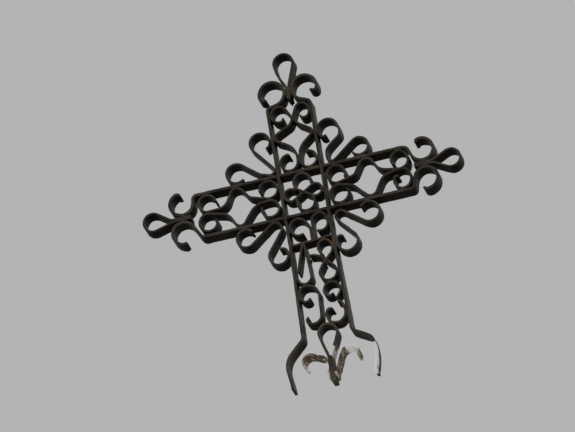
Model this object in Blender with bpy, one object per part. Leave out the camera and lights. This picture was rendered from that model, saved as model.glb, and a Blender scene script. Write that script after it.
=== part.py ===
"""A wrought iron scroll cross, forged from flat bar set on edge.

Two uprights and two arm bars cross at four halved joints and leave a small square
cell in the middle.  Each of their ends is rolled into an open scroll, and a drop-shaped
loop stands between each pair of end scrolls.  Thinner strips, bent round pegs as a
smith bends them on a scroll jig, fill the cell, the four arms and the corners.

Sizes are in millimetres and the meshes are made in metres.  Every strip is drawn in
the plane of the cross from the middle of its cell: x to the right, z up.
"""

import math

import bmesh
import bpy

MM = 0.001

# Bar stock
DEPTH = 25.0            # every bar is this deep, front to back
FRAME = 4.0             # thickness of the uprights and arm bars
SCROLL = 3.0            # thickness of the scroll strips
GAP = 0.3               # left between two pieces that touch
ARC_STEP = math.radians(20)

# Frame
CELL_WIDE = 61.0        # between the middles of the two uprights
CELL_HIGH = 63.0        # between the middles of the two arm bars
CENTRE_ASIDE = 1.65     # the cell stands this far to the right of its stem
END_SCROLL = 16.2       # radius of the rolled ends of the arm bars
TOP_SCROLL = 17.6       # radius of the rolled ends of the uprights
ARM_LEFT = 141.0        # from the left upright out to the left end scrolls
ARM_RIGHT = 141.0       # from the right upright out to the right end scrolls
ARM_TOP = 121.6         # from the upper arm bar up to the top end scrolls
SPLAY_FROM = 48.0       # below the lower arm bar the legs begin to part
SPLAY = 0.029           # how far each leg moves out for each millimetre down
LEG_KNEE = 178.0        # from the lower arm bar down to the knee of each leg
FOOT_HIGH = 72.9        # from the knee of each leg down to its cut end
STEM_WIDE = 6.6
STEM_HIGH = 37.0

# Loops between the end scrolls
LOOP = 13.2             # radius of the side loops
TOP_LOOP = 13.4
LOOP_BEND = 10.0        # radius of the bend from a loop into its two legs
TOP_LOOP_BEND = 15.0
TOP_LOOP_ASIDE = 2.35   # the top loop stands this far to the right of the cell's middle
LEFT_LOOP_UP = 1.85     # the side loops lie this far above the cell's middle
RIGHT_LOOP_UP = 1.0

CW = -1                 # the strip turns clockwise round its peg, seen from the front
CCW = 1

# Lines on which the middle of a strip lies where it rests against the frame
HALF_WIDE = CELL_WIDE / 2
HALF_HIGH = CELL_HIGH / 2
CENTRE_HIGH = HALF_HIGH + LEG_KNEE + FOOT_HIGH
TOUCH = FRAME / 2 + GAP + SCROLL / 2
BESIDE = SCROLL + GAP
TOP = HALF_HIGH
BOTTOM = -HALF_HIGH
RIGHT = HALF_WIDE
LEFT = -HALF_WIDE
UNDER_TOP = TOP - TOUCH
OVER_TOP = TOP + TOUCH
OVER_BOTTOM = BOTTOM + TOUCH
UNDER_BOTTOM = BOTTOM - TOUCH
IN_LEFT = LEFT + TOUCH
OUT_LEFT = LEFT - TOUCH
IN_RIGHT = RIGHT - TOUCH
OUT_RIGHT = RIGHT + TOUCH
INSIDE_HIGH = UNDER_TOP - OVER_BOTTOM
INSIDE_WIDE = IN_RIGHT - IN_LEFT
TOP_END = TOP + ARM_TOP
LEFT_END = LEFT - ARM_LEFT
RIGHT_END = RIGHT + ARM_RIGHT
SHOULDER = 5.0          # radius of the bend where an upright turns in at the top
SHOULDER_AT = TOP_END - TOP_SCROLL - SHOULDER - 2.0
GROUND = -CENTRE_HIGH

# Each strip keeps its wave, and each leg its foot, as shares of the length it was drawn at
TOP_WAVE = ARM_TOP / 121.6
LEFT_WAVE = ARM_LEFT / 141.0
RIGHT_WAVE = ARM_RIGHT / 141.0
LOWER_WAVE = CELL_WIDE / 61.0
FOOT = FOOT_HIGH / 72.9


def leg_at(z):
    """Distance of a leg's middle from the centre line at height z."""
    return HALF_WIDE + SPLAY * max(0.0, BOTTOM - SPLAY_FROM - z)


def peg(r, turn, x=None, z=None, left=None, right=None, top=None, bottom=None):
    """A peg for a strip to bend round: its middle, the strip's radius and the turn.

    left, right, top and bottom give the place of the strip on that side of the peg.
    """
    if left is not None:
        x = left + r
    if right is not None:
        x = right - r
    if top is not None:
        z = top - r
    if bottom is not None:
        z = bottom + r
    return (x, z, r, turn)


def point(x, z):
    """A place the strip passes through or ends at."""
    return (x, z, 0.0, CCW)


def push_to(peg_moved, peg_still, thick=SCROLL):
    """The first peg moved straight towards or from the second until their strips touch."""
    x, z, r, turn = peg_moved
    sx, sz, sr, _ = peg_still
    away = math.hypot(x - sx, z - sz)
    reach = r + sr + (thick + SCROLL) / 2 + GAP
    return (sx + (x - sx) * reach / away, sz + (z - sz) * reach / away, r, turn)


def on_circle(centre_x, centre_z, r, angle):
    return (centre_x + r * math.cos(angle), centre_z + r * math.sin(angle))


def arc(centre_x, centre_z, r, first, sweep):
    """Points from angle first round by sweep, a point at each small step."""
    steps = max(1, math.ceil(abs(sweep) / ARC_STEP - 1e-6))
    return [on_circle(centre_x, centre_z, r, first + sweep * i / steps)
            for i in range(steps + 1)]


def hook(one_peg, angle, r, sweep, at_start):
    """The tight curl at the end of a strip, inside the peg it leaves at this angle."""
    x, z, peg_r, turn = one_peg
    inner_x, inner_z = on_circle(x, z, peg_r - r, angle)
    if at_start:
        return arc(inner_x, inner_z, r, angle - turn * sweep, turn * sweep)
    return arc(inner_x, inner_z, r, angle, turn * sweep)


def heading_between(a, b):
    """Direction of the straight run that leaves peg a and meets peg b."""
    dx = b[0] - a[0]
    dz = b[1] - a[1]
    lean = (b[2] * b[3] - a[2] * a[3]) / math.hypot(dx, dz)
    return math.atan2(dz, dx) - math.asin(lean)


def bend(pegs, start=None, finish=None):
    """The middle line of a strip led round its pegs.

    start and finish are (angle in degrees, hook radius, hook sweep in degrees): where on
    the first or last peg the strip begins or ends, with the curl that it has there.
    """
    path = []
    runs = [heading_between(a, b) for a, b in zip(pegs, pegs[1:])]
    for i, one_peg in enumerate(pegs):
        x, z, r, turn = one_peg
        if r == 0.0:
            path.append((x, z))
            continue
        quarter = turn * math.pi / 2
        if i > 0:
            first = runs[i - 1] - quarter
        else:
            first = math.radians(start[0])
        if i < len(pegs) - 1:
            last = runs[i] - quarter
        else:
            last = math.radians(finish[0])
        sweep = turn * ((turn * (last - first)) % math.tau)
        if i == 0 and start[2]:
            path += hook(one_peg, first, start[1], math.radians(start[2]), True)
        path += arc(x, z, r, first, sweep)
        if i == len(pegs) - 1 and finish[2]:
            path += hook(one_peg, last, finish[1], math.radians(finish[2]), False)
    clean = [path[0]]
    for p in path[1:]:
        if math.dist(p, clean[-1]) > GAP:
            clean.append(p)
    return clean


def sides_of(path, half):
    """The path's two edges, half a thickness to the left and right of it."""
    left = []
    right = []
    for i, p in enumerate(path):
        before = path[max(i - 1, 0)]
        after = path[min(i + 1, len(path) - 1)]
        into = math.atan2(p[1] - before[1], p[0] - before[0])
        out = math.atan2(after[1] - p[1], after[0] - p[0])
        if i == 0:
            into = out
        if i == len(path) - 1:
            out = into
        half_turn = ((out - into + math.pi) % math.tau - math.pi) / 2
        across = into + half_turn + math.pi / 2
        reach = half / math.cos(half_turn)
        left.append((p[0] + reach * math.cos(across), p[1] + reach * math.sin(across)))
        right.append((p[0] - reach * math.cos(across), p[1] - reach * math.sin(across)))
    return left, right


def strip_mesh(name, path, half, front, back):
    """A flat bar on edge that follows the path, as a closed mesh in metres."""
    bm = bmesh.new()
    left, right = sides_of(path, half)
    rows = [[bm.verts.new((x * MM, front * MM, z * MM)) for x, z in side]
            for side in (left, right)]
    faces = [bm.faces.new((rows[0][i], rows[0][i + 1], rows[1][i + 1], rows[1][i]))
             for i in range(len(path) - 1)]
    grown = bmesh.ops.extrude_face_region(bm, geom=faces)["geom"]
    moved = [v for v in grown if isinstance(v, bmesh.types.BMVert)]
    bmesh.ops.translate(bm, verts=moved, vec=(0, (back - front) * MM, 0))
    bmesh.ops.recalc_face_normals(bm, faces=bm.faces)
    mesh = bpy.data.meshes.new(name)
    bm.to_mesh(mesh)
    bm.free()
    return mesh


def paint(name, colour, roughness):
    material = bpy.data.materials.new(name)
    material.use_nodes = True
    shader = material.node_tree.nodes["Principled BSDF"]
    shader.inputs["Base Color"].default_value = (*colour, 1.0)
    shader.inputs["Roughness"].default_value = roughness
    shader.inputs["Metallic"].default_value = 0.0
    return material


class Piece:
    """One bar of the cross: its object, its middle line and its thickness."""

    def __init__(self, name, pegs, start=None, finish=None, thick=SCROLL):
        self.path = bend(pegs, start, finish)
        self.thick = thick
        mesh = strip_mesh(name, self.path, thick / 2, -DEPTH / 2, DEPTH / 2)
        self.obj = place(name, mesh)
        self.obj.data.materials.append(paint(name + "_paint", BLACK_PAINT, 0.5))

    def near(self, x, z, reach):
        """The longest run of the middle line that stays within reach of a place."""
        runs = [[]]
        for p, q in zip(self.path, self.path[1:]):
            pieces = max(1, math.ceil(math.dist(p, q) / (reach / 4)))
            for i in range(pieces + 1):
                s = (p[0] + (q[0] - p[0]) * i / pieces, p[1] + (q[1] - p[1]) * i / pieces)
                if math.dist(s, (x, z)) > reach:
                    runs.append([])
                elif not runs[-1] or math.dist(s, runs[-1][-1]) > GAP:
                    runs[-1].append(s)
        return max(runs, key=len)


def place(name, mesh):
    """Puts a mesh drawn from the middle of the cell where the cell stands."""
    obj = bpy.data.objects.new(name, mesh)
    obj.location = (CENTRE_ASIDE * MM, 0, CENTRE_HIGH * MM)
    bpy.context.collection.objects.link(obj)
    return obj


def cut_with(piece, other, x, z, reach, front, back):
    """Cuts the room that the other piece needs near (x, z), from front to back."""
    name = f"cut_{piece.obj.name}_{other.obj.name}_{round(x)}_{round(z)}"
    mesh = strip_mesh(name, other.near(x, z, reach), other.thick / 2 + GAP, front, back)
    cutter = place(name, mesh)
    cutter.hide_render = True
    cutter.display_type = 'WIRE'
    boolean = piece.obj.modifiers.new(name, 'BOOLEAN')
    boolean.object = cutter
    boolean.operation = 'DIFFERENCE'
    boolean.solver = 'EXACT'


def halve(front_piece, back_piece, x, z, reach):
    """A halved joint: the first piece keeps its front half there, the second its back half."""
    cut_with(front_piece, back_piece, x, z, reach, -GAP / 2, DEPTH)
    cut_with(back_piece, front_piece, x, z, reach, -DEPTH, GAP / 2)


def trim(piece, other, x, z, reach):
    """Ends a piece against the side of another."""
    cut_with(piece, other, x, z, reach, -DEPTH, DEPTH)


def frame_bars():
    """The two uprights and two arm bars, with their rolled ends and halved crossings."""
    knee_z = BOTTOM - LEG_KNEE
    splay_z = BOTTOM - SPLAY_FROM
    leg = leg_at(knee_z)
    left_foot = -leg - 25.23
    right_foot = leg + 23.53
    left = Piece("upright_left", [
        point(left_foot, GROUND),
        peg(40.0 * FOOT, CCW, right=left_foot, z=GROUND + 4 * FOOT),
        peg(30.0 * FOOT, CW, left=left_foot - 2.7, z=GROUND + 30 * FOOT),
        peg(7.5, CCW, right=-leg, z=knee_z),
        peg(60.0, CCW, right=LEFT, z=splay_z),
        peg(SHOULDER, CW, left=LEFT, z=SHOULDER_AT),
        peg(TOP_SCROLL, CCW, right=TOP_LOOP_ASIDE - BESIDE / 2 - TOUCH, z=TOP_END),
    ], finish=(190, 5.0, 120), thick=FRAME)
    right = Piece("upright_right", [
        point(right_foot, GROUND),
        peg(10.0 * FOOT, CW, left=right_foot, z=GROUND + 3 * FOOT),
        peg(70.0 * FOOT, CCW, right=right_foot + 5 * FOOT, z=GROUND + 31 * FOOT),
        peg(14.0 * FOOT, CCW, x=right_foot - 9.9 * FOOT, z=GROUND + 42.5 * FOOT),
        peg(8.0, CW, left=leg, z=knee_z - 1.2),
        peg(60.0, CW, left=RIGHT, z=splay_z),
        peg(SHOULDER, CCW, right=RIGHT, z=SHOULDER_AT),
        peg(TOP_SCROLL, CW, left=TOP_LOOP_ASIDE + BESIDE / 2 + TOUCH, z=TOP_END),
    ], finish=(-10, 5.0, 140), thick=FRAME)

    clear = BESIDE / 2 + TOUCH
    upper = Piece("arm_bar_upper", [
        peg(END_SCROLL, CCW, x=LEFT_END + 1.5, bottom=LEFT_LOOP_UP + clear),
        peg(6.0, CW, x=LEFT_END + END_SCROLL + 8.0, top=TOP),
        peg(9.0, CW, x=RIGHT_END - END_SCROLL - 10.6, top=TOP),
        peg(END_SCROLL, CCW, x=RIGHT_END, bottom=RIGHT_LOOP_UP + clear),
    ], start=(115, 4.5, 90), finish=(100, 4.0, 90), thick=FRAME)
    lower = Piece("arm_bar_lower", [
        peg(END_SCROLL, CW, x=LEFT_END - 1.0, top=LEFT_LOOP_UP - clear),
        peg(5.7, CCW, x=LEFT_END + END_SCROLL + 10.5, bottom=BOTTOM),
        peg(5.0, CCW, x=RIGHT_END - END_SCROLL - 7.0, bottom=BOTTOM),
        peg(END_SCROLL, CW, x=RIGHT_END, top=RIGHT_LOOP_UP - clear),
    ], start=(260, 4.0, 70), finish=(-95, 4.0, 80), thick=FRAME)
    for upright in (left, right):
        for arm_bar, z in ((upper, TOP), (lower, BOTTOM)):
            side = LEFT if upright is left else RIGHT
            halve(upright, arm_bar, side, z, 3 * FRAME)
    return left, right, upper, lower


def end_loops():
    """The three drop-shaped loops that stand between the end scrolls."""
    top_z = TOP_END
    middle = TOP_LOOP_ASIDE
    foot_z = TOP_END - 12.1
    Piece("loop_top", [
        point(middle - BESIDE / 2, foot_z),
        peg(TOP_LOOP_BEND, CCW, right=middle - BESIDE / 2, z=top_z + 3.5),
        peg(38.0, CW, left=middle - TOP_LOOP + 0.8, z=top_z + 38),
        peg(TOP_LOOP, CW, x=middle, z=top_z + 41.5),
        peg(TOP_LOOP_BEND, CCW, left=middle + BESIDE / 2, z=top_z + 3.5),
        point(middle + BESIDE / 2, foot_z),
    ])
    left_x = LEFT_END
    left_z = LEFT_LOOP_UP
    Piece("loop_left", [
        point(left_x + 12, left_z + BESIDE / 2),
        peg(LOOP_BEND, CW, x=left_x - 12.5, bottom=left_z + BESIDE / 2),
        peg(LOOP, CCW, x=left_x - 41.3, z=left_z + 4.4),
        peg(LOOP_BEND, CW, x=left_x - 12.5, top=left_z - BESIDE / 2),
        point(left_x + 12, left_z - BESIDE / 2),
    ])
    right_x = RIGHT_END
    right_z = RIGHT_LOOP_UP
    Piece("loop_right", [
        point(right_x - 14, right_z + BESIDE / 2),
        peg(LOOP_BEND, CCW, x=right_x + 10.5, bottom=right_z + BESIDE / 2),
        peg(LOOP, CW, x=right_x + 38.0, z=right_z - 0.6),
        peg(LOOP_BEND, CCW, x=right_x + 10.5, top=right_z - BESIDE / 2),
        point(right_x - 14, right_z - BESIDE / 2),
    ])


def centre_scrolls():
    """Two S-shaped strips that cross in the middle of the cell."""
    lobe = (INSIDE_HIGH - 6.2) / 4
    side_lobe = 9.0
    tall = Piece("centre_scroll_tall", [
        peg(lobe, CCW, x=0.9, top=UNDER_TOP),
        peg(lobe, CW, x=1.7, bottom=OVER_BOTTOM),
    ], start=(-22, 0, 0), finish=(150, 0, 0))
    wide = Piece("centre_scroll_wide", [
        peg(side_lobe, CCW, left=IN_LEFT, z=-0.6),
        peg(side_lobe, CW, right=IN_RIGHT, z=-0.1),
    ], start=(50, 0, 0), finish=(255, 0, 0))
    halve(tall, wide, 0.9, 0.0, 6.0)


def top_arm():
    """Two strips that cross high in the top arm and end in a pair of rings below."""
    both_rings = INSIDE_WIDE - BESIDE - 2.3
    ring = both_rings / 4 - 0.25
    wave = TOP_WAVE
    first = Piece("top_scroll_front", [
        peg(11.4, CW, left=IN_LEFT, z=SHOULDER_AT + SHOULDER - 9.95 - 0.1 * HALF_WIDE),
        peg(19.0 * wave, CCW, x=RIGHT - 8.5, z=SHOULDER_AT - 12.5),
        peg(6.0 * wave, CW, right=IN_RIGHT, z=TOP + 55 * wave),
        peg(ring + 14.3 * wave, CCW, x=RIGHT - 0.5, z=TOP + 21.5 * wave),
        peg(ring, CCW, right=IN_RIGHT, bottom=OVER_TOP),
    ], start=(-90, 4.5, 100), finish=(80, 4.0, 60))
    ring_left = IN_RIGHT - 2 * ring
    second = Piece("top_scroll_back", [
        peg(7.7, CCW, right=IN_RIGHT, z=SHOULDER_AT - 12),
        peg(9.5, CCW, right=IN_RIGHT, z=SHOULDER_AT - 7),
        peg(15.0 * wave, CW, x=LEFT + 17.5, z=SHOULDER_AT - 14.5),
        peg(6.2 * wave, CCW, left=IN_LEFT, z=TOP + 55.5 * wave),
        peg(ring + 13.3 * wave, CW, x=LEFT + 5.5, z=TOP + 22 * wave),
        peg(ring + 0.5, CW, right=ring_left - BESIDE, bottom=OVER_TOP),
    ], start=(-110, 4.0, 70), finish=(105, 4.0, 80))
    halve(first, second, 3.5, SHOULDER_AT - 16, 10.0)


def right_arm():
    """Two strips that cross near the outer end of the right arm."""
    ring = (INSIDE_HIGH - BESIDE) / 4 - 0.225
    outer = (INSIDE_HIGH - BESIDE - 4.9) / 4
    wave = RIGHT_WAVE
    upper = Piece("right_scroll_upper", [
        peg(ring, CCW, left=OUT_RIGHT + 2.2, top=UNDER_TOP),
        peg(10.5 * wave, CCW, x=OUT_RIGHT + 2 * ring + 7.6 * wave, z=TOP - 14.9),
        peg(10.5 * wave, CW, x=RIGHT + 62 * wave, top=UNDER_TOP),
        peg(18.0 * wave, CCW, x=RIGHT + 91 * wave, z=TOP - 9),
        peg(outer + 0.4, CW, right=RIGHT_END - END_SCROLL - 4.4, z=BOTTOM + 20.3),
        peg(outer + 0.1, CW, right=RIGHT_END - END_SCROLL - 4.6, bottom=OVER_BOTTOM),
    ], start=(-20, 4.0, 45), finish=(155, 3.5, 110))
    lower = Piece("right_scroll_lower", [
        peg(ring + 0.45, CW, left=OUT_RIGHT + 1.75, bottom=OVER_BOTTOM),
        peg(ring + 13.2 * wave, CW, x=RIGHT + 24.5 * wave, z=BOTTOM + 2.5),
        peg(9.5 * wave, CCW, x=RIGHT + 62.5 * wave, bottom=OVER_BOTTOM),
        peg(18.0 * wave, CW, x=RIGHT + 93.5 * wave, z=BOTTOM + 12),
        peg(outer - 0.2, CCW, right=RIGHT_END - END_SCROLL - 4.7, z=TOP - 18.3),
        peg(outer - 0.1, CCW, right=RIGHT_END - END_SCROLL - 4.8, top=UNDER_TOP),
    ], start=(10, 3.0, 80), finish=(200, 3.5, 80))
    halve(lower, upper, RIGHT_END - 40, 0.5, 20.0)


def left_arm():
    """Two strips in the left arm, each with a ring at both ends."""
    ring = (INSIDE_HIGH - BESIDE - 2.1) / 4 + 0.2
    outer = (INSIDE_HIGH - BESIDE - 2.5) / 4 - 0.3
    wave = LEFT_WAVE
    Piece("left_scroll_upper", [
        peg(ring, CW, right=OUT_LEFT, top=UNDER_TOP),
        peg(9.5 * wave, CW, x=LEFT - 38 * wave, z=TOP - 13.2),
        peg(10.3 * wave, CCW, x=LEFT - 61 * wave, top=UNDER_TOP),
        peg((outer / 2 + 11.45) * wave, CW, x=LEFT - 90 * wave, z=TOP - 10),
        peg(outer, CW, x=LEFT_END + 37.3, top=UNDER_TOP),
    ], start=(182, 0, 0), finish=(0, 0, 0))
    ring_bottom = UNDER_TOP - 2 * ring
    outer_bottom = UNDER_TOP - 2 * outer
    Piece("left_scroll_lower", [
        peg(ring - 0.4, CCW, x=LEFT - 17.8, top=ring_bottom - BESIDE),
        peg(ring + 13.8 * wave, CCW, x=LEFT - 24.5 * wave, z=BOTTOM + 3.5),
        peg(7.8 * wave, CW, x=LEFT - 61.8 * wave, bottom=OVER_BOTTOM),
        peg((outer / 2 + 11.95) * wave, CCW, x=LEFT - 89.5 * wave, z=BOTTOM + 9.5),
        peg(outer + 0.6, CCW, x=LEFT_END + 35, top=outer_bottom - BESIDE),
    ], start=(175, 3.0, 60), finish=(350, 3.2, 110))


def corner_scrolls():
    """One strip in each corner between two arms, bent back on itself near the cell."""
    Piece("corner_upper_left", [
        peg(14.0, CCW, right=OUT_LEFT, z=TOP + 54.5),
        peg(6.5, CW, right=OUT_LEFT, bottom=OVER_TOP + 0.4),
        peg(16.0, CW, x=LEFT - 16, bottom=OVER_TOP + 2.6),
        peg(14.0, CCW, x=LEFT - 57, bottom=OVER_TOP),
    ], start=(-35, 5.0, 60), finish=(-50, 0, 0))
    Piece("corner_upper_right", [
        peg(14.0, CW, left=OUT_RIGHT, z=TOP + 52.8),
        peg(10.6, CW, x=RIGHT + 22.7, z=TOP + 46),
        peg(16.5, CCW, x=RIGHT + 26.8, z=TOP + 15),
        peg(6.5, CCW, x=RIGHT + 16.7, bottom=OVER_TOP),
        peg(12.9, CW, x=RIGHT + 56.5, bottom=OVER_TOP),
    ], start=(215, 5.0, 100), finish=(230, 4.0, 50))
    Piece("corner_lower_right", [
        peg(14.6, CW, x=RIGHT + 55.5, top=UNDER_BOTTOM),
        peg(7.6, CCW, x=RIGHT + 15.5, z=BOTTOM - 15.3),
        peg(14.7, CW, left=OUT_RIGHT, z=BOTTOM - 53.5),
    ], start=(120, 7.0, 40), finish=(150, 4.5, 120))
    Piece("corner_lower_left", [
        peg(13.1, CCW, x=LEFT - 58.2, top=UNDER_BOTTOM),
        peg(9.3, CW, x=LEFT - 16.3, top=UNDER_BOTTOM),
        peg(13.6, CCW, right=OUT_LEFT, z=BOTTOM - 52.5),
    ], start=(50, 6.0, 20), finish=(10, 8.5, 100))


def lower_arm(left_upright, right_upright):
    """The scrolls between the two legs, above and below a short cross rail."""
    wave = LOWER_WAVE
    right_hook = 10.9 * wave
    middle = IN_RIGHT - 2 * right_hook - 3.7
    rail_left = BOTTOM - 43.7
    rail_right = BOTTOM - 40.5
    rail = Piece("cross_rail", [
        point(LEFT, rail_left),
        point(RIGHT, rail_right),
    ])
    trim(rail, left_upright, LEFT, rail_left, 12.0)
    trim(rail, right_upright, RIGHT, rail_right, 12.0)

    def rail_at(x):
        return rail_left + (rail_right - rail_left) * (x - LEFT) / CELL_WIDE

    m_left = Piece("rail_hook_left", [
        peg(12.1 * wave, CW, left=IN_LEFT, z=BOTTOM - 18),
        peg(14.6 * wave, CW, right=middle, z=BOTTOM - 24.5),
        point(middle, rail_at(middle)),
    ], start=(-75, 5.0, 30))
    m_right = Piece("rail_hook_right", [
        peg(right_hook, CCW, right=IN_RIGHT, z=BOTTOM - 19.3),
        peg(right_hook, CCW, right=IN_RIGHT, top=UNDER_BOTTOM),
        point(middle + BESIDE, rail_at(middle + BESIDE)),
    ], start=(-105, 5.0, 30))
    trim(m_left, rail, middle, rail_at(middle), 12.0)
    trim(m_right, rail, middle + BESIDE, rail_at(middle + BESIDE), 12.0)

    def beside_left_leg(r, turn, z):
        return peg(r, turn, left=TOUCH - leg_at(z), z=z)

    def beside_right_leg(r, turn, z):
        return peg(r, turn, right=leg_at(z) - TOUCH, z=z)

    drop = beside_left_leg(9.8 * wave, CW, BOTTOM - 92.7)
    Piece("drop_scroll", [
        point(LEFT + 5.2 * wave, BOTTOM - 83.5),
        peg(2.0, CW, x=LEFT + 17.7 * wave, top=rail_at(LEFT + 17.7) - BESIDE),
        drop,
    ], finish=(165, 0, 0))

    ring = beside_right_leg(12.0 * wave, CW, BOTTOM - 92.5)
    tail = Piece("tail_scroll", [
        peg(24.0 * wave, CW, x=RIGHT - 35.5 * wave, z=BOTTOM - 87.2),
        ring,
        point(RIGHT - 7.35 * (1 + wave) - SCROLL, BOTTOM - 73.2 - SCROLL),
    ], start=(93, 0, 0))
    eye_r = 9.9 * wave
    eye_scroll = Piece("eye_scroll", [
        point(RIGHT - 14.5 * wave, BOTTOM - 73.8),
        beside_right_leg(13.0 * wave, CCW, BOTTOM - 57.5),
        beside_right_leg(eye_r, CCW, rail_at(RIGHT - 13.2) - BESIDE - eye_r),
        peg(21.0 * wave, CCW, x=RIGHT - 2.2 * wave, z=BOTTOM - 52.5),
    ], finish=(222, 0, 0))
    trim(eye_scroll, tail, RIGHT - 15 * wave, BOTTOM - 73.5, 12.0)

    below_drop = drop[1] - drop[2] - BESIDE - 10.5 * wave
    Piece("hanging_scroll", [
        beside_left_leg(8.2 * wave, CW, below_drop - 4.2),
        beside_left_leg(10.5 * wave, CW, below_drop),
        peg(14.2 * wave, CW, x=LEFT + 14.2 * wave, z=below_drop - 4.2),
        peg(12.0 * wave, CW, x=LEFT + 15 * wave, z=BOTTOM - 151),
    ], start=(-80, 5.0, 70), finish=(232, 4.5, 130))

    snail_r = 11.7 * wave
    snail_z = ring[1] - ring[2] - BESIDE - snail_r
    snail_end = snail_z - 13.2
    Piece("snail_scroll", [
        beside_right_leg(snail_r, CW, snail_z),
        point(RIGHT - 9 * wave, snail_end),
    ], start=(190, 7.0, 130))
    foot_ring = beside_right_leg(13.2 * wave, CW, BOTTOM - 155)
    Piece("foot_scroll", [
        beside_right_leg(10.0 * wave, CW, snail_end - 1.4 * BESIDE - 10.0 * wave),
        foot_ring,
    ], start=(80, 0, 0), finish=(150, 5.0, 110))
    return foot_ring


def base(foot_ring):
    """The loop that ends in the stem, and the two curls that spring from the stem."""
    stem_x = -CENTRE_ASIDE
    merge_z = GROUND + STEM_HIGH - 1.5
    loop = Piece("base_loop", [
        point(stem_x - BESIDE / 2, merge_z),
        push_to(peg(13.1, CW, x=0.8, z=BOTTOM - 180.6), foot_ring),
        point(stem_x + BESIDE / 2, merge_z),
    ])
    stem = place("stem", strip_mesh("stem", [(stem_x, GROUND), (stem_x, GROUND + STEM_HIGH)],
                                    STEM_WIDE / 2, -DEPTH / 2, DEPTH / 2))
    stem.hide_render = True
    stem.display_type = 'WIRE'
    union = loop.obj.modifiers.new("stem", 'BOOLEAN')
    union.object = stem
    union.operation = 'UNION'
    union.solver = 'EXACT'
    side = STEM_WIDE / 2 + GAP + SCROLL / 2
    Piece("base_curl_left", [
        point(stem_x - side, GROUND + 6),
        peg(5.0, CCW, right=stem_x - side, z=GROUND + 32),
        peg(10.5, CCW, x=-29, z=GROUND + 34),
    ], finish=(200, 4.0, 70))
    Piece("base_curl_right", [
        point(stem_x + side, GROUND + 6),
        peg(6.0, CW, left=stem_x + side, z=GROUND + 9),
        peg(13.4, CW, x=27, z=GROUND + 31.5),
    ], finish=(55, 9.5, 95))


BLACK_PAINT = (0.045, 0.043, 0.040)

for old in list(bpy.data.objects):
    bpy.data.objects.remove(old, do_unlink=True)

uprights = frame_bars()
end_loops()
centre_scrolls()
top_arm()
right_arm()
left_arm()
corner_scrolls()
base(lower_arm(uprights[0], uprights[1]))
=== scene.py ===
# %% [markdown]
# The rounded edges and narrow fronts are also painted lighter, as painted highlight and painted light.
# # A wrought iron scroll cross
#
# The cross is forged from flat bar set on edge. Two uprights and two arm bars cross at
# four halved joints. Each of their ends is rolled into an open scroll, and thinner strips
# bent round pegs fill the arms, the middle and the corners. It is painted black and has
# stood outdoors for years, so the paint is chalky, worn on the edges and rusty at the welds.
#
# The imported solids are loaded first.

import math
import random

import bmesh
import bpy
from mathutils import Matrix, Vector, kdtree
from mathutils.noise import noise_vector, seed_set


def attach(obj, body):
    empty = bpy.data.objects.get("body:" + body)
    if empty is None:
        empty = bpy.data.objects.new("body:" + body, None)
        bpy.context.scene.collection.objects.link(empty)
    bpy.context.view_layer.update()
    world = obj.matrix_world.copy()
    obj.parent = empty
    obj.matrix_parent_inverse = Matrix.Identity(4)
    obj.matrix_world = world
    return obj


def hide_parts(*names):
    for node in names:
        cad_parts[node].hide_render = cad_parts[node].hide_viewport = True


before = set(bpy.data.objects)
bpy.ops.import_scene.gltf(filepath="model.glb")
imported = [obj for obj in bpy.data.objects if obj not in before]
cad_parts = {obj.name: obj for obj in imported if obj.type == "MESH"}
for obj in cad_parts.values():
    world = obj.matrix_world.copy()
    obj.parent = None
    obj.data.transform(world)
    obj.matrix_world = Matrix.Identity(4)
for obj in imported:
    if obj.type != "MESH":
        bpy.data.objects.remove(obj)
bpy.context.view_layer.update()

# %% [markdown]
# ## The camera
#
# The cross stands high up and is seen from below, a little from its right, through a long
# lens, and the picture is tilted so that it leans to the left. A camera is easiest to place
# by its directions: the line of sight first, then the picture's right and up, turned
# together by the tilt. A long lens far away keeps the bars parallel, as the real view does.

# %% Aim the camera
TURN = math.radians(9.0)
RISE = math.radians(-23.0)
TILT = math.radians(9.6)
AIM = Vector((-0.02506, -0.0125, 0.25213))
PICTURE_WIDTH, METRES_A_PIXEL = 575, 0.00137
SEEN_WIDTH = PICTURE_WIDTH * METRES_A_PIXEL
LENS_MM = 900

sight = Vector((-math.sin(TURN) * math.cos(RISE), math.cos(TURN) * math.cos(RISE), -math.sin(RISE)))
level = Vector((math.cos(TURN), math.sin(TURN), 0))
plumb = level.cross(sight)
picture_right = level * math.cos(TILT) - plumb * math.sin(TILT)
picture_up = level * math.sin(TILT) + plumb * math.cos(TILT)

camera_data = bpy.data.cameras.new("camera")
camera_data.sensor_width = 36
camera_data.lens = LENS_MM
camera_data.clip_end = 200
camera = bpy.data.objects.new("camera", camera_data)
away = SEEN_WIDTH * LENS_MM / camera_data.sensor_width
directions = Matrix((picture_right, picture_up, -sight)).transposed().to_4x4()
camera.matrix_world = Matrix.Translation(AIM - sight * away) @ directions
bpy.context.collection.objects.link(camera)
bpy.context.scene.camera = camera
print("camera stands", round(away, 2), "m away at", tuple(round(c, 2) for c in camera.location))

# %% [markdown]
# ## Overcast light
#
# The light is a flat grey sky: bright from above and all round, and dim from below, which
# leaves the undersides of the bars almost black. A world shader can grade its brightness
# by height. What the camera sees behind the cross stays one plain grey, by way of the Light
# Path node.
#
# Two square lamps help the sky. A large one is the brightest patch of cloud, in front and to
# the right. A weak one under the feet shines upwards, because some daylight comes back from
# below and brings out the lime. The floor lies well below, as the camera looks up from under
# the cross.

# %% Grade the sky
SKY_SEEN = 0.455
BLUER = 1.003
SKY_ABOVE = 1.0
SKY_BELOW = 0.075
DIM_UNDER, BRIGHT_OVER = -0.35, 0.45

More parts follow.
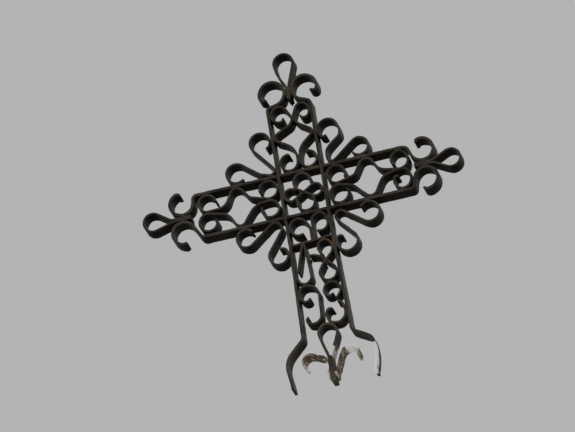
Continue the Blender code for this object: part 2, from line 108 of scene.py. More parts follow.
bpy.context.scene.view_settings.view_transform = 'Standard'
world = bpy.data.worlds.new("overcast")
bpy.context.scene.world = world
world.use_nodes = True
nodes, links = world.node_tree.nodes, world.node_tree.links
nodes.clear()
place = nodes.new("ShaderNodeTexCoord")
height = nodes.new("ShaderNodeSeparateXYZ")
grade = nodes.new("ShaderNodeMapRange")
grade.interpolation_type = 'SMOOTHSTEP'
for name, value in (("From Min", DIM_UNDER), ("From Max", BRIGHT_OVER),
                    ("To Min", SKY_BELOW), ("To Max", SKY_ABOVE)):
    grade.inputs[name].default_value = value
shine = nodes.new("ShaderNodeBackground")
plain = nodes.new("ShaderNodeBackground")
plain.inputs["Color"].default_value = (SKY_SEEN, SKY_SEEN, SKY_SEEN * BLUER, 1)
ray = nodes.new("ShaderNodeLightPath")
choose = nodes.new("ShaderNodeMixShader")
output = nodes.new("ShaderNodeOutputWorld")
links.new(place.outputs["Generated"], height.inputs["Vector"])
links.new(height.outputs["Z"], grade.inputs["Value"])
links.new(grade.outputs["Result"], shine.inputs["Strength"])
links.new(ray.outputs["Is Camera Ray"], choose.inputs["Fac"])
links.new(shine.outputs["Background"], choose.inputs[1])
links.new(plain.outputs["Background"], choose.inputs[2])
links.new(choose.outputs["Shader"], output.inputs["Surface"])
print("sky seen:", SKY_SEEN, "light from above and below:", SKY_ABOVE, SKY_BELOW)

# %% Hang the two lamps
CLOUD_AT, CLOUD_WIDE, CLOUD_POWER = Vector((3.0, -3.5, 4.0)), 3.0, 20
GLOW_AT, GLOW_WIDE, GLOW_POWER = Vector((0.01, -0.05, -0.11)), 0.16, 0.12
MIDDLE_OF_CROSS = Vector((0, 0, 0.25))
UPWARDS = (math.pi, 0, 0)


def lamp(name, place, turned, wide, power):
    """A square lamp, which shines along its own -Z."""
    lamp_data = bpy.data.lights.new(name, 'AREA')
    lamp_data.size = wide
    lamp_data.energy = power
    made = bpy.data.objects.new(name, lamp_data)
    made.location = place
    made.rotation_euler = turned
    bpy.context.collection.objects.link(made)
    return made


towards_cross = (MIDDLE_OF_CROSS - CLOUD_AT).to_track_quat('-Z', 'Y').to_euler()
lamp("bright_cloud", CLOUD_AT, towards_cross, CLOUD_WIDE, CLOUD_POWER)
glow = lamp("glow_from_below", GLOW_AT, UPWARDS, GLOW_WIDE, GLOW_POWER)
glow.visible_camera = False
print("lamps of", CLOUD_POWER, "and", GLOW_POWER, "watts hang")

# %% Lay the floor
FLOOR_DOWN = -8.3
FLOOR_RADIUS = 24
bm = bmesh.new()
bmesh.ops.create_circle(bm, cap_ends=True, radius=FLOOR_RADIUS, segments=96)
bmesh.ops.translate(bm, verts=bm.verts, vec=(0, 0, FLOOR_DOWN))
floor_mesh = bpy.data.meshes.new("floor")
bm.to_mesh(floor_mesh)
bm.free()
floor = bpy.data.objects.new("floor", floor_mesh)
pale = bpy.data.materials.new("pale_floor")
pale.use_nodes = True
pale_shader = pale.node_tree.nodes["Principled BSDF"]
pale_shader.inputs["Base Color"].default_value = (0.55, 0.55, 0.55, 1)
pale_shader.inputs["Roughness"].default_value = 0.9
floor_mesh.materials.append(pale)
floor.visible_diffuse = False
floor.visible_glossy = False
bpy.context.collection.objects.link(floor)
print("floor lies at", FLOOR_DOWN, "m")

# %% [markdown]
# ## Bar stock and pegs
#
# A smith bends a scroll by pulling the strip round pegs on a jig, so each strip is written
# here as the pegs it goes round: where a peg stands, how wide the bend is and which way it
# turns. Straight runs join the bends by themselves, as they do on the jig. Sizes are in
# millimetres from the middle of the cell, x to the right and z up.

# %% Bar stock and the frame's lines
MM = 0.001
DEPTH = 25.0
FRAME = 4.0
SCROLL = 3.0
GAP = 0.3
CELL_WIDE = 61.0
CELL_HIGH = 63.0
CENTRE = Vector((1.65, 0, 282.4))
END_SCROLL = 16.2
TOP_SCROLL = 17.6
ARM_LEFT = 141.0
ARM_RIGHT = 141.0
ARM_TOP = 121.6
SPLAY_FROM = 48.0
SPLAY = 0.029
LEG_KNEE = 178.0
STEM_WIDE = 6.6
STEM_HIGH = 37.0
CW, CCW = -1, 1

TOUCH = FRAME / 2 + GAP + SCROLL / 2
BESIDE = SCROLL + GAP
TOP, BOTTOM = CELL_HIGH / 2, -CELL_HIGH / 2
RIGHT, LEFT = CELL_WIDE / 2, -CELL_WIDE / 2
UNDER_TOP, OVER_TOP = TOP - TOUCH, TOP + TOUCH
OVER_BOTTOM, UNDER_BOTTOM = BOTTOM + TOUCH, BOTTOM - TOUCH
IN_LEFT, OUT_LEFT = LEFT + TOUCH, LEFT - TOUCH
IN_RIGHT, OUT_RIGHT = RIGHT - TOUCH, RIGHT + TOUCH
GROUND = -CENTRE.z
print("cell:", CELL_WIDE, "x", CELL_HIGH, "mm, strips rest", TOUCH, "mm from a bar's middle")

# %% Pegs
def peg(r, turn, x=None, z=None, left=None, right=None, top=None, bottom=None):
    """A peg: its middle, the strip's radius round it and the turn."""
    x = left + r if left is not None else right - r if right is not None else x
    z = top - r if top is not None else bottom + r if bottom is not None else z
    return (x, z, r, turn)


def point(x, z):
    """Where a strip begins or ends without a bend."""
    return (x, z, 0.0, CCW)


def leg_at(z):
    """How far a leg's middle is from the centre line at height z."""
    return RIGHT + SPLAY * max(0.0, BOTTOM - SPLAY_FROM - z)


def push_to(moved, still):
    """The first peg moved straight from the second until their strips just touch."""
    apart = Vector((moved[0] - still[0], moved[1] - still[1])).normalized()
    reach = moved[2] + still[2] + BESIDE
    return (still[0] + apart.x * reach, still[1] + apart.y * reach, moved[2], moved[3])


def heading_between(a, b):
    """Direction of the straight run from peg a to peg b."""
    dx, dz = b[0] - a[0], b[1] - a[1]
    return math.atan2(dz, dx) - math.asin((b[2] * b[3] - a[2] * a[3]) / math.hypot(dx, dz))


print("a leg stands", round(leg_at(BOTTOM - LEG_KNEE), 2), "mm out at its knee")

# %% [markdown]
# ## Bending a bar
#
# Blender's extrude tool is the bending jig. A small upright rectangle is the bar's section.
# A straight run extrudes it and slides the new end along. A bend extrudes it in small steps
# and turns each new end about the peg. This keeps the thickness true through every curl,
# which a curve with a bevel profile would lose in the tight hooks.

# %% The bar bender
LONGEST_STEP = 4
WIDE_BEND = 7
WIDE_TURN, TIGHT_TURN = math.radians(7), math.radians(12)


class Bender:
    """Runs a bar's section along straights and round pegs, and keeps its middle line."""

    def __init__(self, x, z, heading, thick):
        self.bm = bmesh.new()
        self.at = Vector((x, 0, z))
        self.heading = heading
        across = Vector((-math.sin(heading), 0, math.cos(heading))) * thick / 2
        deep = Vector((0, DEPTH / 2, 0))
        corners = [self.at + across * s + deep * d for s, d in ((1, -1), (1, 1), (-1, 1), (-1, -1))]
        self.end = self.bm.faces.new([self.bm.verts.new(c) for c in corners])
        self.line = [self.at.copy()]

    def grow(self):
        old = self.end
        made = bmesh.ops.extrude_face_region(self.bm, geom=[old])["geom"]
        self.end = next(g for g in made if isinstance(g, bmesh.types.BMFace))
        if len(self.line) > 1:
            bmesh.ops.delete(self.bm, geom=[old], context='FACES_ONLY')
        return self.end.verts

    def straight(self, length):
        steps = max(1, round(length / LONGEST_STEP))
        step = Vector((math.cos(self.heading), 0, math.sin(self.heading))) * length / steps
        for _ in range(steps):
            bmesh.ops.translate(self.bm, verts=self.grow(), vec=step)
            self.at += step
            self.line.append(self.at.copy())

    def round_peg(self, x, z, r, sweep):
        turn = WIDE_TURN if r > WIDE_BEND else TIGHT_TURN
        steps = max(2, math.ceil(max(abs(sweep) / turn, abs(sweep) * r / LONGEST_STEP)))
        middle = Vector((x, 0, z))
        step = Matrix.Rotation(-sweep / steps, 3, 'Y')
        for _ in range(steps):
            bmesh.ops.rotate(self.bm, verts=self.grow(), cent=middle, matrix=step)
            self.at = middle + step @ (self.at - middle)
            self.line.append(self.at.copy())
        self.heading += sweep


# %% From pegs to a bent bar
EDGE_ROUND = 0.7


def curl_peg(one_peg, angle, r):
    """The small peg inside a larger one that a strip's end is curled round."""
    x, z, big, turn = one_peg
    return (x + (big - r) * math.cos(angle), z + (big - r) * math.sin(angle), r, turn)


def bend(pegs, start=None, finish=None, thick=SCROLL):
    """Bends a bar round its pegs. start and finish are (angle, curl radius, curl sweep)."""
    runs = [heading_between(a, b) for a, b in zip(pegs, pegs[1:])]
    bender = None
    for i, (x, z, r, turn) in enumerate(pegs):
        quarter = turn * math.pi / 2
        first = runs[i - 1] - quarter if i else math.radians(start[0]) if start else None
        last = runs[i] - quarter if i < len(runs) else math.radians(finish[0]) if finish else None
        if i == 0 and r == 0:
            bender = Bender(x, z, runs[0], thick)
            continue
        if i == 0:
            curl = curl_peg(pegs[0], first, start[1] or r)
            sweep = math.radians(start[2])
            begin = first - turn * sweep
            bender = Bender(curl[0] + curl[2] * math.cos(begin), curl[1] + curl[2] * math.sin(begin),
                            begin + quarter, thick)
            if sweep:
                bender.round_peg(curl[0], curl[1], curl[2], turn * sweep)
        else:
            meet = Vector((x - r * turn * -math.sin(runs[i - 1]), 0, z - r * turn * math.cos(runs[i - 1])))
            bender.heading = runs[i - 1]
            bender.straight((meet - bender.at).length)
        if r:
            bender.round_peg(x, z, r, turn * ((turn * (last - first)) % math.tau))
        if i == len(runs) and r and finish[2]:
            curl = curl_peg(pegs[i], last, finish[1])
            bender.round_peg(curl[0], curl[1], curl[2], turn * math.radians(finish[2]))
    return bender


# %% [markdown]
# A bent bar becomes a piece of the model in three steps. Its sharp corners are bevelled,
# because bar stock has softly rounded edges that catch the light. It is moved from the
# jig's millimetres to its place in metres. The solid that it stands for is hidden, so this
# finer bar takes over.

# %% Turn a bent bar into a piece
SHARP = math.radians(60)
bars = {}


def make_piece(name, bm):
    """Rounds the edges, moves the mesh to its place and makes the object."""
    bmesh.ops.recalc_face_normals(bm, faces=bm.faces)
    sharp = [e for e in bm.edges if e.calc_face_angle(0) > SHARP]
    bmesh.ops.bevel(bm, geom=sharp, offset=EDGE_ROUND, offset_type='OFFSET', affect='EDGES', segments=2,
                    profile=0.5, material=-1, clamp_overlap=True)
    bmesh.ops.translate(bm, verts=bm.verts, vec=CENTRE)
    bmesh.ops.scale(bm, verts=bm.verts, vec=(MM, MM, MM))
    bmesh.ops.recalc_face_normals(bm, faces=bm.faces)
    mesh = bpy.data.meshes.new(name)
    bm.to_mesh(mesh)
    bm.free()
    piece = bpy.data.objects.new(name, mesh)
    bpy.context.collection.objects.link(piece)
    for face in mesh.polygons:
        face.use_smooth = True
    return piece


def bar(node, pegs, start=None, finish=None, thick=SCROLL):
    """Bends one bar and lets it stand for the solid of the same name."""
    bender = bend(pegs, start, finish, thick)
    piece = make_piece("forged_" + node, bender.bm)
    piece["thick"] = thick
    bars[node] = (piece, bender.line)
    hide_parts(node)
    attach(piece, "root")
    print(node, len(piece.data.polygons), "faces")


# %% [markdown]
# ## The frame
#
# The two uprights run from the splayed feet to the rolled tops, and the two arm bars from
# one rolled end to the other. They are a little thicker than the scrolls. Each foot bends
# out at a knee, then curves down to where it is set. One upright could be the mirror of the
# other, but the real two differ by some millimetres, so each has pegs of its own.

# %% The uprights
TOP_LOOP_ASIDE = 2.35
top_z = TOP + ARM_TOP
knee_z = BOTTOM - LEG_KNEE
leg = leg_at(knee_z)
left_foot, right_foot = -59.5, 57.8

bar("upright_left", [
    point(left_foot, GROUND),
    peg(40.0, CCW, right=left_foot, z=GROUND + 4),
    peg(30.0, CW, left=left_foot - 2.7, z=GROUND + 30),
    peg(7.5, CCW, right=-leg, z=knee_z),
    peg(60.0, CCW, right=LEFT, z=BOTTOM - SPLAY_FROM),
    peg(5.0, CW, left=LEFT, z=top_z - TOP_SCROLL - 7.0),
    peg(TOP_SCROLL, CCW, right=TOP_LOOP_ASIDE - BESIDE / 2 - TOUCH, z=top_z),
], finish=(190, 5.0, 120), thick=FRAME)
bar("upright_right", [
    point(right_foot, GROUND),
    peg(10.0, CW, left=right_foot, z=GROUND + 3),
    peg(70.0, CCW, right=right_foot + 5.0, z=GROUND + 31),
    peg(14.0, CCW, x=right_foot - 9.9, z=GROUND + 42.5),
    peg(8.0, CW, left=leg, z=knee_z - 1.2),
    peg(60.0, CW, left=RIGHT, z=BOTTOM - SPLAY_FROM),
    peg(5.0, CCW, right=RIGHT, z=top_z - TOP_SCROLL - 7.0),
    peg(TOP_SCROLL, CW, left=TOP_LOOP_ASIDE + BESIDE / 2 + TOUCH, z=top_z),
], finish=(-10, 5.0, 140), thick=FRAME)

# %% The arm bars
LEFT_LOOP_UP, RIGHT_LOOP_UP = 1.85, 1.0
left_x, right_x = LEFT - ARM_LEFT, RIGHT + ARM_RIGHT
clear = BESIDE / 2 + TOUCH

bar("arm_bar_upper", [
    peg(END_SCROLL, CCW, x=left_x + 1.5, bottom=LEFT_LOOP_UP + clear),
    peg(6.0, CW, x=left_x + 24.2, top=TOP),
    peg(9.0, CW, x=right_x - 26.8, top=TOP),
    peg(END_SCROLL, CCW, x=right_x, bottom=RIGHT_LOOP_UP + clear),
], start=(115, 4.5, 90), finish=(100, 4.0, 90), thick=FRAME)
bar("arm_bar_lower", [
    peg(END_SCROLL, CW, x=left_x - 1.0, top=LEFT_LOOP_UP - clear),
    peg(5.7, CCW, x=left_x + 26.7, bottom=BOTTOM),
    peg(5.0, CCW, x=right_x - 23.2, bottom=BOTTOM),
    peg(END_SCROLL, CW, x=right_x, top=RIGHT_LOOP_UP - clear),
], start=(260, 4.0, 70), finish=(-95, 4.0, 80), thick=FRAME)

# %% [markdown]
# ## The loops at the ends
#
# A drop-shaped loop stands between each pair of rolled ends. One strip goes out, round the
# lobe and back beside itself, and its two legs are pinched between the rolls. A hand-drawn
# curve could give the drop too, but pegs set by the loop's middle line keep the two legs side
# by side with the same narrow gap all along.

# %% The three loops
TOP_LOOP = 13.4
SIDE_LOOP = 13.2

bar("loop_top", [
    point(TOP_LOOP_ASIDE - BESIDE / 2, TOP + 109.5),
    peg(15.0, CCW, right=TOP_LOOP_ASIDE - BESIDE / 2, z=top_z + 3.5),
    peg(38.0, CW, left=TOP_LOOP_ASIDE - TOP_LOOP + 0.8, z=top_z + 38),
    peg(TOP_LOOP, CW, x=TOP_LOOP_ASIDE, z=top_z + 41.5),
    peg(15.0, CCW, left=TOP_LOOP_ASIDE + BESIDE / 2, z=top_z + 3.5),
    point(TOP_LOOP_ASIDE + BESIDE / 2, TOP + 109.5),
])
bar("loop_left", [
    point(left_x + 12, LEFT_LOOP_UP + BESIDE / 2),
    peg(10.0, CW, x=left_x - 12.5, bottom=LEFT_LOOP_UP + BESIDE / 2),
    peg(SIDE_LOOP, CCW, x=left_x - 41.3, z=LEFT_LOOP_UP + 4.4),
    peg(10.0, CW, x=left_x - 12.5, top=LEFT_LOOP_UP - BESIDE / 2),
    point(left_x + 12, LEFT_LOOP_UP - BESIDE / 2),
])
bar("loop_right", [
    point(right_x - 14, RIGHT_LOOP_UP + BESIDE / 2),
    peg(10.0, CCW, x=right_x + 10.5, bottom=RIGHT_LOOP_UP + BESIDE / 2),
    peg(SIDE_LOOP, CW, x=right_x + 38.0, z=RIGHT_LOOP_UP - 0.6),
    peg(10.0, CCW, x=right_x + 10.5, top=RIGHT_LOOP_UP - BESIDE / 2),
    point(right_x - 14, RIGHT_LOOP_UP - BESIDE / 2),
])

# %% [markdown]
# ## The middle and the top arm
#
# In the middle cell a tall S and a wide S cross each other. In the top arm two long strips
# wind past each other: each starts in a curl at the top, crosses over, touches an upright
# and ends in a ring that rests on the upper arm bar. All are bent whole here, and a later
# step saws them where they cross, so that a bend never has to stop at a joint.

# %% The middle scrolls
bar("centre_scroll_tall", [
    peg(12.3, CCW, x=0.9, top=UNDER_TOP),
    peg(12.3, CW, x=1.7, bottom=OVER_BOTTOM),
], start=(-22, 0, 0), finish=(150, 0, 0))
bar("centre_scroll_wide", [
    peg(9.0, CCW, left=IN_LEFT, z=-0.6),
    peg(9.0, CW, right=IN_RIGHT, z=-0.1),
], start=(50, 0, 0), finish=(255, 0, 0))

# %% The top arm's scrolls
top_ring = 11.7
bar("top_scroll_front", [
    peg(11.4, CW, left=IN_LEFT, z=TOP + 89),
    peg(19.0, CCW, x=22, z=TOP + 84.5),
    peg(6.0, CW, right=IN_RIGHT, z=TOP + 55),
    peg(26.0, CCW, x=30, z=TOP + 21.5),
    peg(top_ring, CCW, right=IN_RIGHT, bottom=OVER_TOP),
], start=(-90, 4.5, 100), finish=(80, 4.0, 60))
bar("top_scroll_back", [
    peg(7.7, CCW, right=IN_RIGHT, z=TOP + 85),
    peg(9.5, CCW, right=IN_RIGHT, z=TOP + 90),
    peg(15.0, CW, x=-13, z=TOP + 82.5),
    peg(6.2, CCW, left=IN_LEFT, z=TOP + 55.5),
    peg(25.0, CW, x=-25, z=TOP + 22),
    peg(12.2, CW, right=IN_RIGHT - 2 * top_ring - BESIDE, bottom=OVER_TOP),
], start=(-110, 4.0, 70), finish=(105, 4.0, 80))

# %% [markdown]
# ## The side arms
#
# The right arm's two strips cross near its outer end. The left arm's two strips run one
# above the other without crossing. Every ring rests on an arm bar, an upright or its fellow.
# A peg that rests on a bar takes its height from that bar, so the two keep touching.

# %% The right arm's scrolls
ring = 12.8
second_ring = (UNDER_TOP - OVER_BOTTOM - 2 * ring - BESIDE) / 2
bar("right_scroll_upper", [
    peg(ring, CCW, x=RIGHT + 18.8, top=UNDER_TOP),
    peg(10.5, CCW, x=RIGHT + 37, z=16.6),
    peg(10.5, CW, x=RIGHT + 62, top=UNDER_TOP),
    peg(18.0, CCW, x=RIGHT + 91, z=22.5),
    peg(12.2, CW, x=RIGHT + 108.2, z=-11.2),
    peg(11.9, CW, x=RIGHT + 108.3, bottom=OVER_BOTTOM),
], start=(-20, 4.0, 45), finish=(155, 3.5, 110))
bar("right_scroll_lower", [
    peg(second_ring, CW, x=RIGHT + 18.8, bottom=OVER_BOTTOM),
    peg(26.0, CW, x=RIGHT + 24.5, z=-29),
    peg(9.5, CCW, x=RIGHT + 62.5, bottom=OVER_BOTTOM),
    peg(18.0, CW, x=RIGHT + 93.5, z=-19.5),
    peg(11.6, CCW, x=RIGHT + 108.5, z=13.2),
    peg(11.7, CCW, x=RIGHT + 108.3, top=UNDER_TOP),
], start=(10, 3.0, 80), finish=(200, 3.5, 80))

# %% The left arm's scrolls
inner_ring, outer_ring = 12.7, 12.1
bar("left_scroll_upper", [
    peg(inner_ring, CW, right=OUT_LEFT, top=UNDER_TOP),
    peg(9.5, CW, x=LEFT - 38, z=18.3),
    peg(10.3, CCW, x=LEFT - 61, top=UNDER_TOP),
    peg(17.5, CW, x=LEFT - 90, z=21.5),
    peg(outer_ring, CW, x=LEFT - 103.7, top=UNDER_TOP),
], start=(182, 0, 0), finish=(0, 0, 0))
bar("left_scroll_lower", [
    peg(12.3, CCW, x=LEFT - 17.8, top=UNDER_TOP - 2 * inner_ring - BESIDE),
    peg(26.5, CCW, x=LEFT - 24.5, z=-28),
    peg(7.8, CW, x=LEFT - 61.8, bottom=OVER_BOTTOM),
    peg(18.0, CCW, x=LEFT - 89.5, z=-22),
    peg(12.7, CCW, x=LEFT - 106, top=UNDER_TOP - 2 * outer_ring - BESIDE),
], start=(175, 3.0, 60), finish=(350, 3.2, 110))

# %% [markdown]
# ## The corners
#
# One strip sits in each corner between two arms. It is bent back on itself beside the cell
# and spreads into two open scrolls, one against the upright and one against the arm bar. Four
# turned copies of one strip would be quicker, but no two corners of the real cross match.

# %% The corner scrolls
bar("corner_upper_left", [
    peg(14.0, CCW, right=OUT_LEFT, z=TOP + 54.5),
    peg(6.5, CW, right=OUT_LEFT, bottom=OVER_TOP + 0.4),
    peg(16.0, CW, x=LEFT - 16, bottom=OVER_TOP + 2.6),
    peg(14.0, CCW, x=LEFT - 57, bottom=OVER_TOP),
], start=(-35, 5.0, 60), finish=(-50, 0, 0))
bar("corner_upper_right", [
    peg(14.0, CW, left=OUT_RIGHT, z=TOP + 52.8),
    peg(10.6, CW, x=RIGHT + 22.7, z=TOP + 46),
    peg(16.5, CCW, x=RIGHT + 26.8, z=TOP + 15),
    peg(6.5, CCW, x=RIGHT + 16.7, bottom=OVER_TOP),
    peg(12.9, CW, x=RIGHT + 56.5, bottom=OVER_TOP),
], start=(215, 5.0, 100), finish=(230, 4.0, 50))
bar("corner_lower_right", [
    peg(14.6, CW, x=RIGHT + 55.5, top=UNDER_BOTTOM),
    peg(7.6, CCW, x=RIGHT + 15.5, z=BOTTOM - 15.3),
    peg(14.7, CW, left=OUT_RIGHT, z=BOTTOM - 53.5),
], start=(120, 7.0, 40), finish=(150, 4.5, 120))
bar("corner_lower_left", [
    peg(13.1, CCW, x=LEFT - 58.2, top=UNDER_BOTTOM),
    peg(9.3, CW, x=LEFT - 16.3, top=UNDER_BOTTOM),
    peg(13.6, CCW, right=OUT_LEFT, z=BOTTOM - 52.5),
], start=(50, 6.0, 20), finish=(10, 8.5, 100))

# %% [markdown]
# ## The lower arm
#
# A short rail crosses between the legs below the cell, with two hooks standing on it. Under
# it, a long drop and a hanging C fill the left side, and a figure of eight with a tail, a
# snail and a foot scroll fill the right side, all resting against the sloping legs. A peg
# beside a leg asks for the leg's place at its own height, so it follows the slope.

# %% The rail and its hooks
rail_left, rail_right = BOTTOM - 43.7, BOTTOM - 40.5


def rail_at(x):
    return rail_left + (rail_right - rail_left) * (x - LEFT) / CELL_WIDE


hook_x = 1.2
bar("cross_rail", [point(LEFT, rail_left), point(RIGHT, rail_right)])
bar("rail_hook_left", [
    peg(12.1, CW, left=IN_LEFT, z=BOTTOM - 18),
    peg(14.6, CW, x=-13.4, z=BOTTOM - 24.5),
    point(hook_x, rail_at(hook_x)),
], start=(-75, 5.0, 30))
bar("rail_hook_right", [
    peg(10.9, CCW, right=IN_RIGHT, z=BOTTOM - 19.3),
    peg(10.9, CCW, right=IN_RIGHT, top=UNDER_BOTTOM),
    point(hook_x + BESIDE, rail_at(hook_x + BESIDE)),
], start=(-105, 5.0, 30))

# %% The drop and the hanging scroll
def beside_left_leg(r, turn, z):
    return peg(r, turn, left=TOUCH - leg_at(z), z=z)


def beside_right_leg(r, turn, z):
    return peg(r, turn, right=leg_at(z) - TOUCH, z=z)


drop = beside_left_leg(9.8, CW, BOTTOM - 92.7)
bar("drop_scroll", [
    point(-25.3, BOTTOM - 83.5),
    peg(2.0, CW, x=-12.8, top=rail_at(-12.8) - BESIDE),
    drop,
], finish=(165, 9.8, 0))
bar("hanging_scroll", [
    beside_left_leg(8.2, CW, BOTTOM - 120.5),
    beside_left_leg(10.5, CW, drop[1] - drop[2] - BESIDE - 10.5),
    peg(14.2, CW, x=-16.3, z=BOTTOM - 120.5),
    peg(12.0, CW, x=-15.5, z=BOTTOM - 151),
], start=(-80, 5.0, 70), finish=(232, 4.5, 130))

# %% The eye, the ring with its tail, the snail and the foot scroll
tail_ring = beside_right_leg(12.0, CW, BOTTOM - 92.5)
bar("tail_scroll", [
    peg(24.0, CW, x=-5.0, z=BOTTOM - 87.2),
    tail_ring,
    point(12.8, BOTTOM - 76.2),
], start=(93, 0, 0))
bar("eye_scroll", [
    point(16.0, BOTTOM - 73.8),
    beside_right_leg(13.0, CCW, BOTTOM - 57.5),
    beside_right_leg(9.9, CCW, rail_at(17.3) - BESIDE - 9.9),
    peg(21.0, CCW, x=28.3, z=BOTTOM - 52.5),
], finish=(222, 21.0, 0))
snail_end = BOTTOM - 132.7
bar("snail_scroll", [
    beside_right_leg(11.7, CW, tail_ring[1] - tail_ring[2] - BESIDE - 11.7),
    point(21.5, snail_end),
], start=(190, 7.0, 130))
foot_ring = beside_right_leg(13.2, CW, BOTTOM - 155)
bar("foot_scroll", [
    beside_right_leg(10.0, CW, snail_end - 1.4 * BESIDE - 10.0),
    foot_ring,
], start=(80, 0, 0), finish=(150, 5.0, 110))

# %% [markdown]
# ## The base
#
# A loop stands between the legs. Its two sides run together into one solid stem, which is
# welded up and cut off flat. A short curl springs from each side of the stem. The stem is a
# thicker straight bar from the same bender, so it gets the same rounded edges as the rest.

# %% The base loop and its stem
stem_x = -CENTRE.x
merge_z = GROUND + STEM_HIGH - 1.5
bar("base_loop", [
    point(stem_x - BESIDE / 2, merge_z),
    push_to(peg(13.1, CW, x=0.8, z=BOTTOM - 180.6), foot_ring),
    point(stem_x + BESIDE / 2, merge_z),
])
stem = Bender(stem_x, GROUND, math.pi / 2, STEM_WIDE)
stem.straight(STEM_HIGH)
stem_piece = make_piece("stem", stem.bm)
stem_piece["thick"] = STEM_WIDE
bars["stem"] = (stem_piece, stem.line)
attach(stem_piece, "root")

# %% The base curls
side = STEM_WIDE / 2 + GAP + SCROLL / 2
bar("base_curl_left", [
    point(stem_x - side, GROUND + 6),
    peg(5.0, CCW, right=stem_x - side, z=GROUND + 32),
    peg(10.5, CCW, x=-29, z=GROUND + 34),
], finish=(200, 4.0, 70))
bar("base_curl_right", [
    point(stem_x + side, GROUND + 6),
    peg(6.0, CW, left=stem_x + side, z=GROUND + 9),
    peg(13.4, CW, x=27, z=GROUND + 31.5),
], finish=(55, 9.5, 95))
print(len(bars), "bars are bent")

# %% [markdown]
# ## Halved joints
#
# Where two bars cross, each is sawn half away so that both lie flush. The saw here is a
# Boolean with a small block turned along the other bar. Among the bmesh operators there is no
# Boolean, so the block is an object for a moment and the modifier's result is taken over. A bar
# that ends against the side of another is cut to it in the same way, right through.

# %% The saw
def direction_at(line, x, z):
    """Where a bar's middle line passes nearest a place, and which way it runs there."""
    here = Vector((x, 0, z))
    i = min(range(1, len(line) - 1), key=lambda k: (line[k] - here).length)
    ahead = (line[i + 1] - line[i - 1]).normalized()
    return line[i] + ahead * (here - line[i]).dot(ahead), ahead


def saw(node, other, x, z, front, back, reach=9.0):
    """Takes the other bar's room out of a piece, between two depths."""
    piece = bars[node][0]
    other_piece, line = bars[other]
    middle, ahead = direction_at(line, x, z)
    bm = bmesh.new()
    bmesh.ops.create_cube(bm, size=1)
    bmesh.ops.scale(bm, verts=bm.verts, vec=(2 * reach, back - front, other_piece["thick"] + 2 * GAP))
    bmesh.ops.rotate(bm, verts=bm.verts, cent=(0, 0, 0),
                     matrix=Matrix.Rotation(-math.atan2(ahead.z, ahead.x), 3, 'Y'))
    bmesh.ops.translate(bm, verts=bm.verts, vec=middle + Vector((0, (front + back) / 2, 0)) + CENTRE)
    bmesh.ops.scale(bm, verts=bm.verts, vec=(MM, MM, MM))
    block_mesh = bpy.data.meshes.new("block")
    bm.to_mesh(block_mesh)
    bm.free()
    block = bpy.data.objects.new("block", block_mesh)
    bpy.context.collection.objects.link(block)
    cut = piece.modifiers.new("saw", 'BOOLEAN')
    cut.object = block
    cut.operation = 'DIFFERENCE'
    cut.solver = 'EXACT'
    sawn = bpy.data.meshes.new_from_object(piece.evaluated_get(bpy.context.evaluated_depsgraph_get()))
    piece.modifiers.clear()
    piece.data = sawn
    bpy.data.objects.remove(block, do_unlink=True)


def halve(in_front, behind, x, z, reach=9.0):
    saw(in_front, behind, x, z, -GAP / 2, DEPTH, reach)
    saw(behind, in_front, x, z, -DEPTH, GAP / 2, reach)


# %% Saw the joints
for upright, x in (("upright_left", LEFT), ("upright_right", RIGHT)):
    halve(upright, "arm_bar_upper", x, TOP)
    halve(upright, "arm_bar_lower", x, BOTTOM)
halve("centre_scroll_tall", "centre_scroll_wide", 0.8, 0.2, 6.0)
halve("top_scroll_front", "top_scroll_back", 2.5, TOP + 80.4)
halve("right_scroll_lower", "right_scroll_upper", RIGHT + 100.5, 0.3, 11.0)
for node, other, x, z in (("cross_rail", "upright_left", LEFT, rail_left),
                          ("cross_rail", "upright_right", RIGHT, rail_right),
                          ("rail_hook_left", "cross_rail", hook_x, rail_at(hook_x)),
                          ("rail_hook_right", "cross_rail", hook_x + BESIDE, rail_at(hook_x + BESIDE)),
                          ("eye_scroll", "tail_scroll", 15.5, BOTTOM - 74.5)):
    saw(node, other, x, z, -DEPTH, DEPTH)
print("joints are sawn")

# %% [markdown]
# ## Hammer marks
#
# Bar that was heated and bent by hand is never quite even. A bump map would mark its sides,
# but the outline would stay ruled, so the vertices themselves move: one smooth noise field
# nudges them sideways by less than half a millimetre. Neighbours read the same field, so
# their joints still fit, and it dies away towards the cut ends, which stay flat. The noise
# gets a fixed seed, or each run would give slightly different bars.

# %% Hammer the bars
HAMMERED = 0.4
WAVES = 0.12
FLAT_FOR = 8
NOISE_SEED = 5
seed_set(NOISE_SEED)


def fade(value, low, high):
    """0 at low, 1 at high and a straight line between. low may be the larger of the two."""
    return max(0.0, min(1.0, (value - low) / (high - low)))


furthest = 0.0
for piece, _ in bars.values():
    for v in piece.data.vertices:
        place = v.co / MM
        nudge = noise_vector(place * WAVES) * HAMMERED * fade(place.z, 0, FLAT_FOR)
        v.co += Vector((nudge.x, 0, nudge.z)) * MM
        furthest = max(furthest, math.hypot(nudge.x, nudge.z))
print("the hammer moved the metal by", round(furthest, 2), "mm at most")

# %% [markdown]
# ## Welds
#
# Wherever two strips touch, the smith has run a small bead of weld into the groove between
# them, front and back. The touching places need not be written down again: they are where
# two bars' middle lines come as close as half of both thicknesses. Each bead is a small
# sphere, stretched along the groove and made a little lumpy. The wide S in the middle cell
# stops just short of the tall one, and its two ends are filled by a weld from front to back,
# which is a plain rod.

# %% Find where bars touch
APART = 9
SIDE_BY_SIDE = 2.0


def dense(line):
    """A middle line as places one millimetre apart, with the direction at each."""
    places = []
    for a, b in zip(line, line[1:]):
        run = b - a
        count = max(1, round(run.length))
        places += [(a + run * i / count, run.normalized()) for i in range(count)]
    return places


